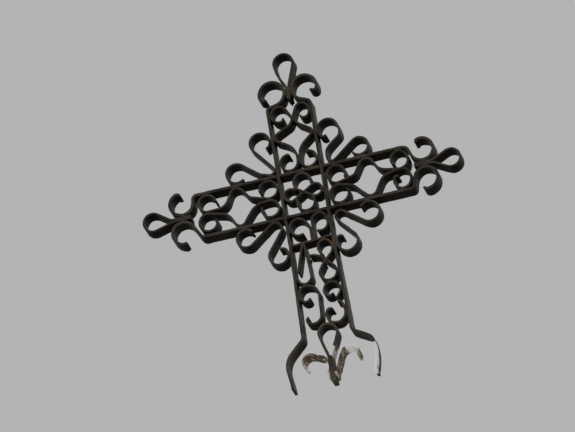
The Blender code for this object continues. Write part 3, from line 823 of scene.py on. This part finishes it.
def touches_between(one, other, slack=0.8):
    """Places between two bars where they touch, as (place, direction, apart)."""
    reach = (one[0]["thick"] + other[0]["thick"]) / 2 + slack
    tree = kdtree.KDTree(len(other[2]))
    for i, (place, _) in enumerate(other[2]):
        tree.insert(place, i)
    tree.balance()
    near = []
    for place, ahead in one[2]:
        found, _, gap = tree.find(place)
        if gap < reach:
            near.append((gap, (place + found) / 2, ahead))
    kept = []
    for gap, place, ahead in sorted(near, key=lambda n: n[0]):
        if all((place - k[0]).length > APART for k in kept):
            kept.append((place, ahead, gap))
    return kept


lines = {name: (piece, line, dense(line)) for name, (piece, line) in bars.items()}
touches = []
names = list(lines)
for i, a in enumerate(names):
    for b in names[i + 1:]:
        touches += touches_between(lines[a], lines[b])
beads = [t for t in touches if t[2] > SIDE_BY_SIDE]
print(len(touches), "places touch,", len(beads), "of them side by side")

# %% Run the weld beads
LOOP_LEGS = ((Vector((TOP_LOOP_ASIDE, 0, top_z - 6)), Vector((0, 0, 1))),
             (Vector((left_x - 2, 0, LEFT_LOOP_UP)), Vector((1, 0, 0))),
             (Vector((right_x + 1, 0, RIGHT_LOOP_UP)), Vector((1, 0, 0))))
LOBE_ENDS = (Vector((14.8, 0, -8.2)), Vector((-11.6, 0, 6.3)))
LEG_BEADS, LEG_STEP, LEG_BEAD = 5, 3.4, (2.6, 1.1)
BEAD_LONG, BEAD_WIDE = (2.2, 3.6), (0.9, 1.3)
BEAD_THICK, BEAD_SUNK, LUMPY = 1.3, 0.9, 0.10
ROD_RADIUS, ROD_SHORT = 1.8, 1.4
chance = random.Random(7)


def add_bead(bm, place, ahead, side, long, wide):
    """One bead of weld in the groove, at the front (-1) or the back (1)."""
    made = bmesh.ops.create_icosphere(bm, subdivisions=2, radius=1)["verts"]
    for v in made:
        v.co *= 1 + chance.uniform(-LUMPY, LUMPY)
    bmesh.ops.scale(bm, verts=made, vec=(long, BEAD_THICK, wide))
    along = Matrix.Rotation(-math.atan2(ahead.z, ahead.x), 3, 'Y')
    bmesh.ops.rotate(bm, verts=made, cent=(0, 0, 0), matrix=along)
    bmesh.ops.translate(bm, verts=made, vec=place + Vector((0, side * (DEPTH / 2 - BEAD_SUNK), 0)))


def add_rod(bm, place):
    """A weld that fills a gap from front to back."""
    made = bmesh.ops.create_cone(bm, cap_ends=True, segments=14, radius1=ROD_RADIUS,
                                 radius2=ROD_RADIUS, depth=DEPTH - ROD_SHORT)["verts"]
    bmesh.ops.rotate(bm, verts=made, cent=(0, 0, 0), matrix=Matrix.Rotation(math.pi / 2, 3, 'X'))
    bmesh.ops.translate(bm, verts=made, vec=place)


bm = bmesh.new()
for place, ahead, _ in beads:
    for side in (-1, 1):
        add_bead(bm, place, ahead, side, chance.uniform(*BEAD_LONG), chance.uniform(*BEAD_WIDE))
for place, ahead in LOOP_LEGS:
    for side in (-1, 1):
        for k in range(LEG_BEADS):
            add_bead(bm, place + ahead * (k - LEG_BEADS // 2) * LEG_STEP, ahead, side, *LEG_BEAD)
for place in LOBE_ENDS:
    add_rod(bm, place)
bmesh.ops.translate(bm, verts=bm.verts, vec=CENTRE)
bmesh.ops.scale(bm, verts=bm.verts, vec=(MM, MM, MM))
weld_mesh = bpy.data.meshes.new("weld_beads")
bm.to_mesh(weld_mesh)
bm.free()
for face in weld_mesh.polygons:
    face.use_smooth = True
welds = bpy.data.objects.new("weld_beads", weld_mesh)
bpy.context.collection.objects.link(welds)
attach(welds, "root")
print("weld beads:", len(weld_mesh.polygons), "faces")

# %% [markdown]
# ## Where the weather has been
#
# Rust starts where bars touch, with two more rusty patches, and the foot of the cross has been
# splashed with lime wash. A noise alone would put both anywhere. The paint can follow the
# piece if each vertex carries a number, so two attributes are written on every mesh: how near
# it is to rust, and how much lime it caught.

# %% Measure the rust
heat = kdtree.KDTree(len(touches))
for i, (place, _, _) in enumerate(touches):
    heat.insert(place, i)
heat.balance()
TOUCH_REACH = 8
# each rusty patch: its middle, how far it reaches and how strong it is
RUSTY = ((24.5, -79.5, 6.5, 1.9), (-30.5, -31.5, 9.0, 0.2))


def spot(away, reach):
    """1 in the middle of a spot, falling to 0 at its reach."""
    return max(0.0, 1 - away / reach)


def rust_at(co):
    place = co / MM - CENTRE
    gap = heat.find(Vector((place.x, 0, place.z)))[2]
    near = spot(gap, TOUCH_REACH)
    for x, z, reach, strength in RUSTY:
        near += strength * spot(math.hypot(place.x - x, place.z - z), reach)
    return near


print(len(touches), "touching places and", len(RUSTY), "patches rust")

# %% Measure the lime
RIGHT_CURL_END, LEFT_CURL_END, LEFT_CURL_ROOT = (33, 42), (-38, 24), -6
LOOP_TOP_FROM, LOOP_TOP_TO = 62, 74
LOOP_LEGS_FROM, LOOP_LEGS_TO = 60, 46
FOOT_FROM, FOOT_TO = 47, 39


def lime_at(name, co):
    """How much lime a place caught, from 0 for none. Places are millimetres from the stem's foot."""
    x, y, z = co / MM
    if name == "base_curl_right":
        return max(0.45, 1.5 - math.hypot(x - RIGHT_CURL_END[0], z - RIGHT_CURL_END[1]) / 11)
    if name == "base_curl_left":
        end = spot(math.hypot(x - LEFT_CURL_END[0], z - LEFT_CURL_END[1]), 10)
        return 0.38 + 0.6 * end + 0.4 * spot(abs(x - LEFT_CURL_ROOT), 6)
    if name == "base_loop":
        legs = fade(z, LOOP_LEGS_FROM, LOOP_LEGS_TO) * (1.0 if x > 0 else 0.3)
        return max(0.42 * fade(z, LOOP_TOP_FROM, LOOP_TOP_TO), legs)
    if name == "upright_right":
        return 1.2 * fade(z, FOOT_FROM, FOOT_TO) * fade(y, 0, -8)
    return 0.0


right_end = Vector((RIGHT_CURL_END[0], 0, RIGHT_CURL_END[1])) * MM
print("lime at the right curl's end:", round(lime_at("base_curl_right", right_end), 2))

# %% Mark the rust and the lime
for name, (piece, _) in bars.items():
    mesh = piece.data
    rust = mesh.attributes.new("rust", 'FLOAT', 'POINT')
    lime = mesh.attributes.new("lime", 'FLOAT', 'POINT')
    for i, v in enumerate(mesh.vertices):
        rust.data[i].value = rust_at(v.co)
        lime.data[i].value = lime_at(name, v.co)
print("rust and lime are marked on", len(bars), "pieces")

# %% [markdown]
# ## Old black paint
#
# The paint is nearly black and slightly brown. It is chalky and scuffed on the rounded
# corners and the narrow front edges, flecked all over, and its tone drifts along each bar. The
# same lighter colour is also a painted highlight on the rounded corners and painted light on
# the narrow fronts. A painted image would need unwrapping for every scroll. Noises read at
# the object's own coordinates need none, and the way a face points tells a front from a side.
# Every metal piece shares this finish, so it is one node group with its own sockets, placed
# in each material with that material's values.

# %% A helper for node groups
def new_group(name, ins, outs):
    """A shader node group with named sockets, and its input and output nodes."""
    tree = bpy.data.node_groups.new(name, 'ShaderNodeTree')
    for socket, kind, value in ins:
        made = tree.interface.new_socket(socket, in_out='INPUT', socket_type=kind)
        made.default_value = value
    for socket, kind in outs:
        tree.interface.new_socket(socket, in_out='OUTPUT', socket_type=kind)
    return tree, tree.nodes.new("NodeGroupInput"), tree.nodes.new("NodeGroupOutput")


def noise(tree, vector, scale, detail=4.0, rough=0.55):
    made = tree.nodes.new("ShaderNodeTexNoise")
    made.inputs["Scale"].default_value = scale
    made.inputs["Detail"].default_value = detail
    made.inputs["Roughness"].default_value = rough
    tree.links.new(vector, made.inputs["Vector"])
    return made.outputs["Fac"]


def ramp(tree, value, low, high, to_low=0.0, to_high=1.0):
    """Spreads a value between two limits, smoothly."""
    made = tree.nodes.new("ShaderNodeMapRange")
    made.interpolation_type = 'SMOOTHSTEP'
    for socket, number in (("From Min", low), ("From Max", high), ("To Min", to_low), ("To Max", to_high)):
        made.inputs[socket].default_value = number
    tree.links.new(value, made.inputs["Value"])
    return made.outputs["Result"]


def maths(tree, operation, a, b):
    made = tree.nodes.new("ShaderNodeMath")
    made.operation = operation
    for i, value in enumerate((a, b)):
        if isinstance(value, (int, float)):
            made.inputs[i].default_value = value
        else:
            tree.links.new(value, made.inputs[i])
    return made.outputs["Value"]


def blend(tree, factor, a, b, kind='RGBA'):
    """Mixes two colours or two numbers."""
    made = tree.nodes.new("ShaderNodeMix")
    made.data_type = kind
    pick = 6 if kind == 'RGBA' else 2
    for socket, value in ((made.inputs[0], factor), (made.inputs[pick], a), (made.inputs[pick + 1], b)):
        if isinstance(value, (int, float)):
            socket.default_value = value
        elif isinstance(value, tuple):
            socket.default_value = (*value, 1)
        else:
            tree.links.new(value, socket)
    return made.outputs[2 if kind == 'RGBA' else 0]


# %% The weathered paint group and its noises
DRIFT_FINE, MOTTLE_FINE, GRIT_FINE, FLECK_FINE, RUST_FINE = 28, 260, 1400, 620, 420

# The lighter colour socket stands for scuffed paint and also for painted highlight and painted light.
tree, into, out = new_group(
    "weathered_paint",
    (("Paint", 'NodeSocketColor', (0.03, 0.027, 0.022, 1)),
     ("Worn and lit", 'NodeSocketColor', (0.09, 0.08, 0.065, 1)),
     ("Rust", 'NodeSocketColor', (0.16, 0.06, 0.025, 1)),
     ("Wear and light", 'NodeSocketFloat', 1.0)),
    (("Color", 'NodeSocketColor'), ("Roughness", 'NodeSocketFloat'), ("Height", 'NodeSocketFloat')))
here = tree.nodes.new("ShaderNodeTexCoord").outputs["Object"]
facing = tree.nodes.new("ShaderNodeNewGeometry").outputs["Normal"]
sides = tree.nodes.new("ShaderNodeSeparateXYZ")
tree.links.new(facing, sides.inputs["Vector"])
drift = ramp(tree, noise(tree, here, DRIFT_FINE, 3), 0.35, 0.65)
mottle = ramp(tree, noise(tree, here, MOTTLE_FINE, 5), 0.38, 0.66)
grit = noise(tree, here, GRIT_FINE, 3)
print("weathered_paint so far:", len(tree.nodes), "nodes")

# %% Scuffing on corners, fronts and tops, with painted highlight and painted light
across = maths(tree, 'ABSOLUTE', sides.outputs["Y"], 0)
# Front and back faces: scuffed paint, and also painted light that makes these faces lighter.
front = ramp(tree, across, 0.80, 0.97)
# Rounded bevels: scuffed paint, and also a painted highlight.
corner = maths(tree, 'SUBTRACT', ramp(tree, across, 0.20, 0.55), front)
above = ramp(tree, sides.outputs["Z"], 0.3, 0.9)
worn_and_lit = maths(tree, 'ADD', corner, maths(tree, 'MULTIPLY', front, blend(tree, drift, 0.08, 0.42, 'FLOAT')))
worn_and_lit = maths(tree, 'ADD', worn_and_lit, maths(tree, 'MULTIPLY', above, 0.25))
worn_and_lit = maths(tree, 'MULTIPLY', worn_and_lit, blend(tree, mottle, 0.30, 1.0, 'FLOAT'))
flecks = ramp(tree, noise(tree, here, FLECK_FINE, 3, 0.6), 0.60, 0.68)
worn_and_lit = maths(tree, 'ADD', worn_and_lit, maths(tree, 'MULTIPLY', flecks, 0.30))
worn_and_lit = maths(tree, 'MULTIPLY', worn_and_lit, into.outputs["Wear and light"])
lighter = blend(tree, 0.15, into.outputs["Paint"], into.outputs["Worn and lit"])
paint = blend(tree, drift, into.outputs["Paint"], lighter)
paint = blend(tree, worn_and_lit, paint, into.outputs["Worn and lit"])
print("weathered_paint so far:", len(tree.nodes), "nodes")

# %% Rust over the wear
marked = tree.nodes.new("ShaderNodeAttribute")
marked.attribute_name = "rust"
rusty = maths(tree, 'ADD', marked.outputs["Fac"], maths(tree, 'MULTIPLY', drift, 0.12))
rusty = ramp(tree, maths(tree, 'MULTIPLY', rusty, noise(tree, here, RUST_FINE, 5, 0.65)), 0.32, 0.62)
paint = blend(tree, maths(tree, 'MULTIPLY', rusty, 0.8), paint, into.outputs["Rust"])
tree.links.new(paint, out.inputs["Color"])
dull = blend(tree, mottle, 0.60, 0.75, 'FLOAT')
tree.links.new(blend(tree, rusty, dull, 0.85, 'FLOAT'), out.inputs["Roughness"])
tree.links.new(maths(tree, 'ADD', maths(tree, 'MULTIPLY', mottle, 0.6), maths(tree, 'MULTIPLY', grit, 0.4)),
               out.inputs["Height"])
print("weathered_paint:", len(tree.nodes), "nodes")

# %% [markdown]
# ## Lime wash and crust
#
# Lime has run over the right foot, the right curl and the right leg of the base loop, with
# traces elsewhere at the base. A pale crust sits on the two curls, and a brown stain on the
# base loop and its stem. All of it lies on top of the paint. Separate faces could carry it, but
# its edges are ragged, and a mask made of the lime mark and a noise gives that. So this second
# group takes in the paint's colour, roughness and height, and puts them out again with the
# crust or stain and the lime laid over them.

# %% The lime wash group
LIME_FINE, CRUST_FINE = 95, 120

tree, into, out = new_group(
    "lime_wash",
    (("Color", 'NodeSocketColor', (0.03, 0.03, 0.03, 1)), ("Roughness", 'NodeSocketFloat', 0.5),
     ("Height", 'NodeSocketFloat', 0.0), ("Lime", 'NodeSocketColor', (0.95, 0.94, 0.91, 1)),
     ("Crust", 'NodeSocketColor', (0.20, 0.13, 0.06, 1)), ("Crusty", 'NodeSocketFloat', 0.0)),
    (("Color", 'NodeSocketColor'), ("Roughness", 'NodeSocketFloat'), ("Height", 'NodeSocketFloat')))
here = tree.nodes.new("ShaderNodeTexCoord").outputs["Object"]
marked = tree.nodes.new("ShaderNodeAttribute")
marked.attribute_name = "lime"
lime = marked.outputs["Fac"]
spread = maths(tree, 'ADD', maths(tree, 'MULTIPLY', lime, 0.55), noise(tree, here, LIME_FINE, 5, 0.6))
limed = maths(tree, 'MULTIPLY', ramp(tree, spread, 0.86, 0.93), ramp(tree, lime, 0.0, 0.1))
spread = maths(tree, 'ADD', maths(tree, 'MULTIPLY', lime, 0.35), noise(tree, here, CRUST_FINE, 4, 0.6))
crusted = ramp(tree, spread, 0.62, 0.72)
crusted = maths(tree, 'MULTIPLY', crusted, into.outputs["Crusty"])
colour = blend(tree, crusted, into.outputs["Color"], into.outputs["Crust"])
colour = blend(tree, limed, colour, into.outputs["Lime"])
tree.links.new(colour, out.inputs["Color"])
tree.links.new(blend(tree, limed, into.outputs["Roughness"], 0.9, 'FLOAT'), out.inputs["Roughness"])
raised = maths(tree, 'ADD', into.outputs["Height"], maths(tree, 'MULTIPLY', limed, 1.5))
tree.links.new(raised, out.inputs["Height"])
print("lime_wash:", len(tree.nodes), "nodes")

# %% [markdown]
# ## Mixing the finishes
#
# Five finishes come out of the two groups. Most bars wear the old black paint, the right
# upright a splashed one, the base loop and its stem a stained one and the two curls a crusted
# one, and the beads are bare weld metal. Each could be built node by node, but one function
# with a few colours keeps them alike. The Principled shader stays in the material, outside
# the groups, and its gloss is a plain value there, the same for all.


# %% Mix the finishes
BUMP_DEEP = 0.0003
BUMP_STRONG = 0.5
GLOSS = 0.25


def finish_of(name, paint, worn_and_lit, rust, wear_and_light, limed=False, crusty=0.0, crust=(0.20, 0.13, 0.06)):
    """A finish from the shared groups, with its own colours."""
    material = bpy.data.materials.new(name)
    material.use_nodes = True
    tree = material.node_tree
    shader = tree.nodes["Principled BSDF"]
    group = tree.nodes.new("ShaderNodeGroup")
    group.node_tree = bpy.data.node_groups["weathered_paint"]
    for socket, value in (("Paint", paint), ("Worn and lit", worn_and_lit), ("Rust", rust)):
        group.inputs[socket].default_value = (*value, 1)
    group.inputs["Wear and light"].default_value = wear_and_light
    if limed:
        wash = tree.nodes.new("ShaderNodeGroup")
        wash.node_tree = bpy.data.node_groups["lime_wash"]
        wash.inputs["Crusty"].default_value = crusty
        wash.inputs["Crust"].default_value = (*crust, 1)
        for socket in ("Color", "Roughness", "Height"):
            tree.links.new(group.outputs[socket], wash.inputs[socket])
        group = wash
    bump = tree.nodes.new("ShaderNodeBump")
    bump.inputs["Strength"].default_value = BUMP_STRONG
    bump.inputs["Distance"].default_value = BUMP_DEEP
    tree.links.new(group.outputs["Height"], bump.inputs["Height"])
    tree.links.new(group.outputs["Color"], shader.inputs["Base Color"])
    tree.links.new(group.outputs["Roughness"], shader.inputs["Roughness"])
    tree.links.new(bump.outputs["Normal"], shader.inputs["Normal"])
    shader.inputs["Specular IOR Level"].default_value = GLOSS
    return material


# %% The five finishes
# The scuffed colours here are scuffed paint and also the painted highlight on corners and painted light on
# fronts.
BLACK, SCUFFED_AND_LIT, RUST_BROWN = (0.024, 0.0175, 0.0110), (0.165, 0.143, 0.112), (0.16, 0.060, 0.025)
CRUSTED, CRUSTED_WORN_AND_LIT, PALE_CRUST = (0.075, 0.042, 0.028), (0.20, 0.16, 0.115), (0.42, 0.37, 0.26)
BROWN_STAIN = (0.15, 0.10, 0.055)
WELDED, WELDED_WORN_AND_LIT = (0.045, 0.035, 0.025), (0.12, 0.10, 0.075)

old_paint = finish_of("old_black_paint", BLACK, SCUFFED_AND_LIT, RUST_BROWN, 1.0)
splashed = finish_of("splashed_paint", BLACK, SCUFFED_AND_LIT, RUST_BROWN, 1.0, limed=True)
stained = finish_of("stained_paint", BLACK, SCUFFED_AND_LIT, RUST_BROWN, 1.0,
                    limed=True, crusty=0.8, crust=BROWN_STAIN)
crusted_paint = finish_of("crusted_paint", CRUSTED, CRUSTED_WORN_AND_LIT, RUST_BROWN, 1.0,
                          limed=True, crusty=1.0, crust=PALE_CRUST)
weld_metal = finish_of("weld_metal", WELDED, WELDED_WORN_AND_LIT, RUST_BROWN, 0.8)
print("finishes:", [m.name for m in (old_paint, splashed, stained, crusted_paint, weld_metal)])

# %% [markdown]
# ## Dressing the pieces
#
# Every bar gets the paint unless the table names another finish. A bar's broad sides are flat
# and its edges are rounded, and smooth shading alone would make the sides look swollen. A
# Weighted Normal modifier lets the large faces decide, which keeps them flat.

# %% Dress the pieces
DRESS = {"upright_right": splashed, "base_loop": stained, "stem": stained,
         "base_curl_left": crusted_paint, "base_curl_right": crusted_paint}
for name, (piece, _) in bars.items():
    piece.data.materials.clear()
    piece.data.materials.append(DRESS.get(name, old_paint))
    steady = piece.modifiers.new("steady_shading", 'WEIGHTED_NORMAL')
    steady.keep_sharp = True
    steady.weight = 80
weld_mesh.materials.append(weld_metal)
print("dressed", len(bars) + 1, "pieces")
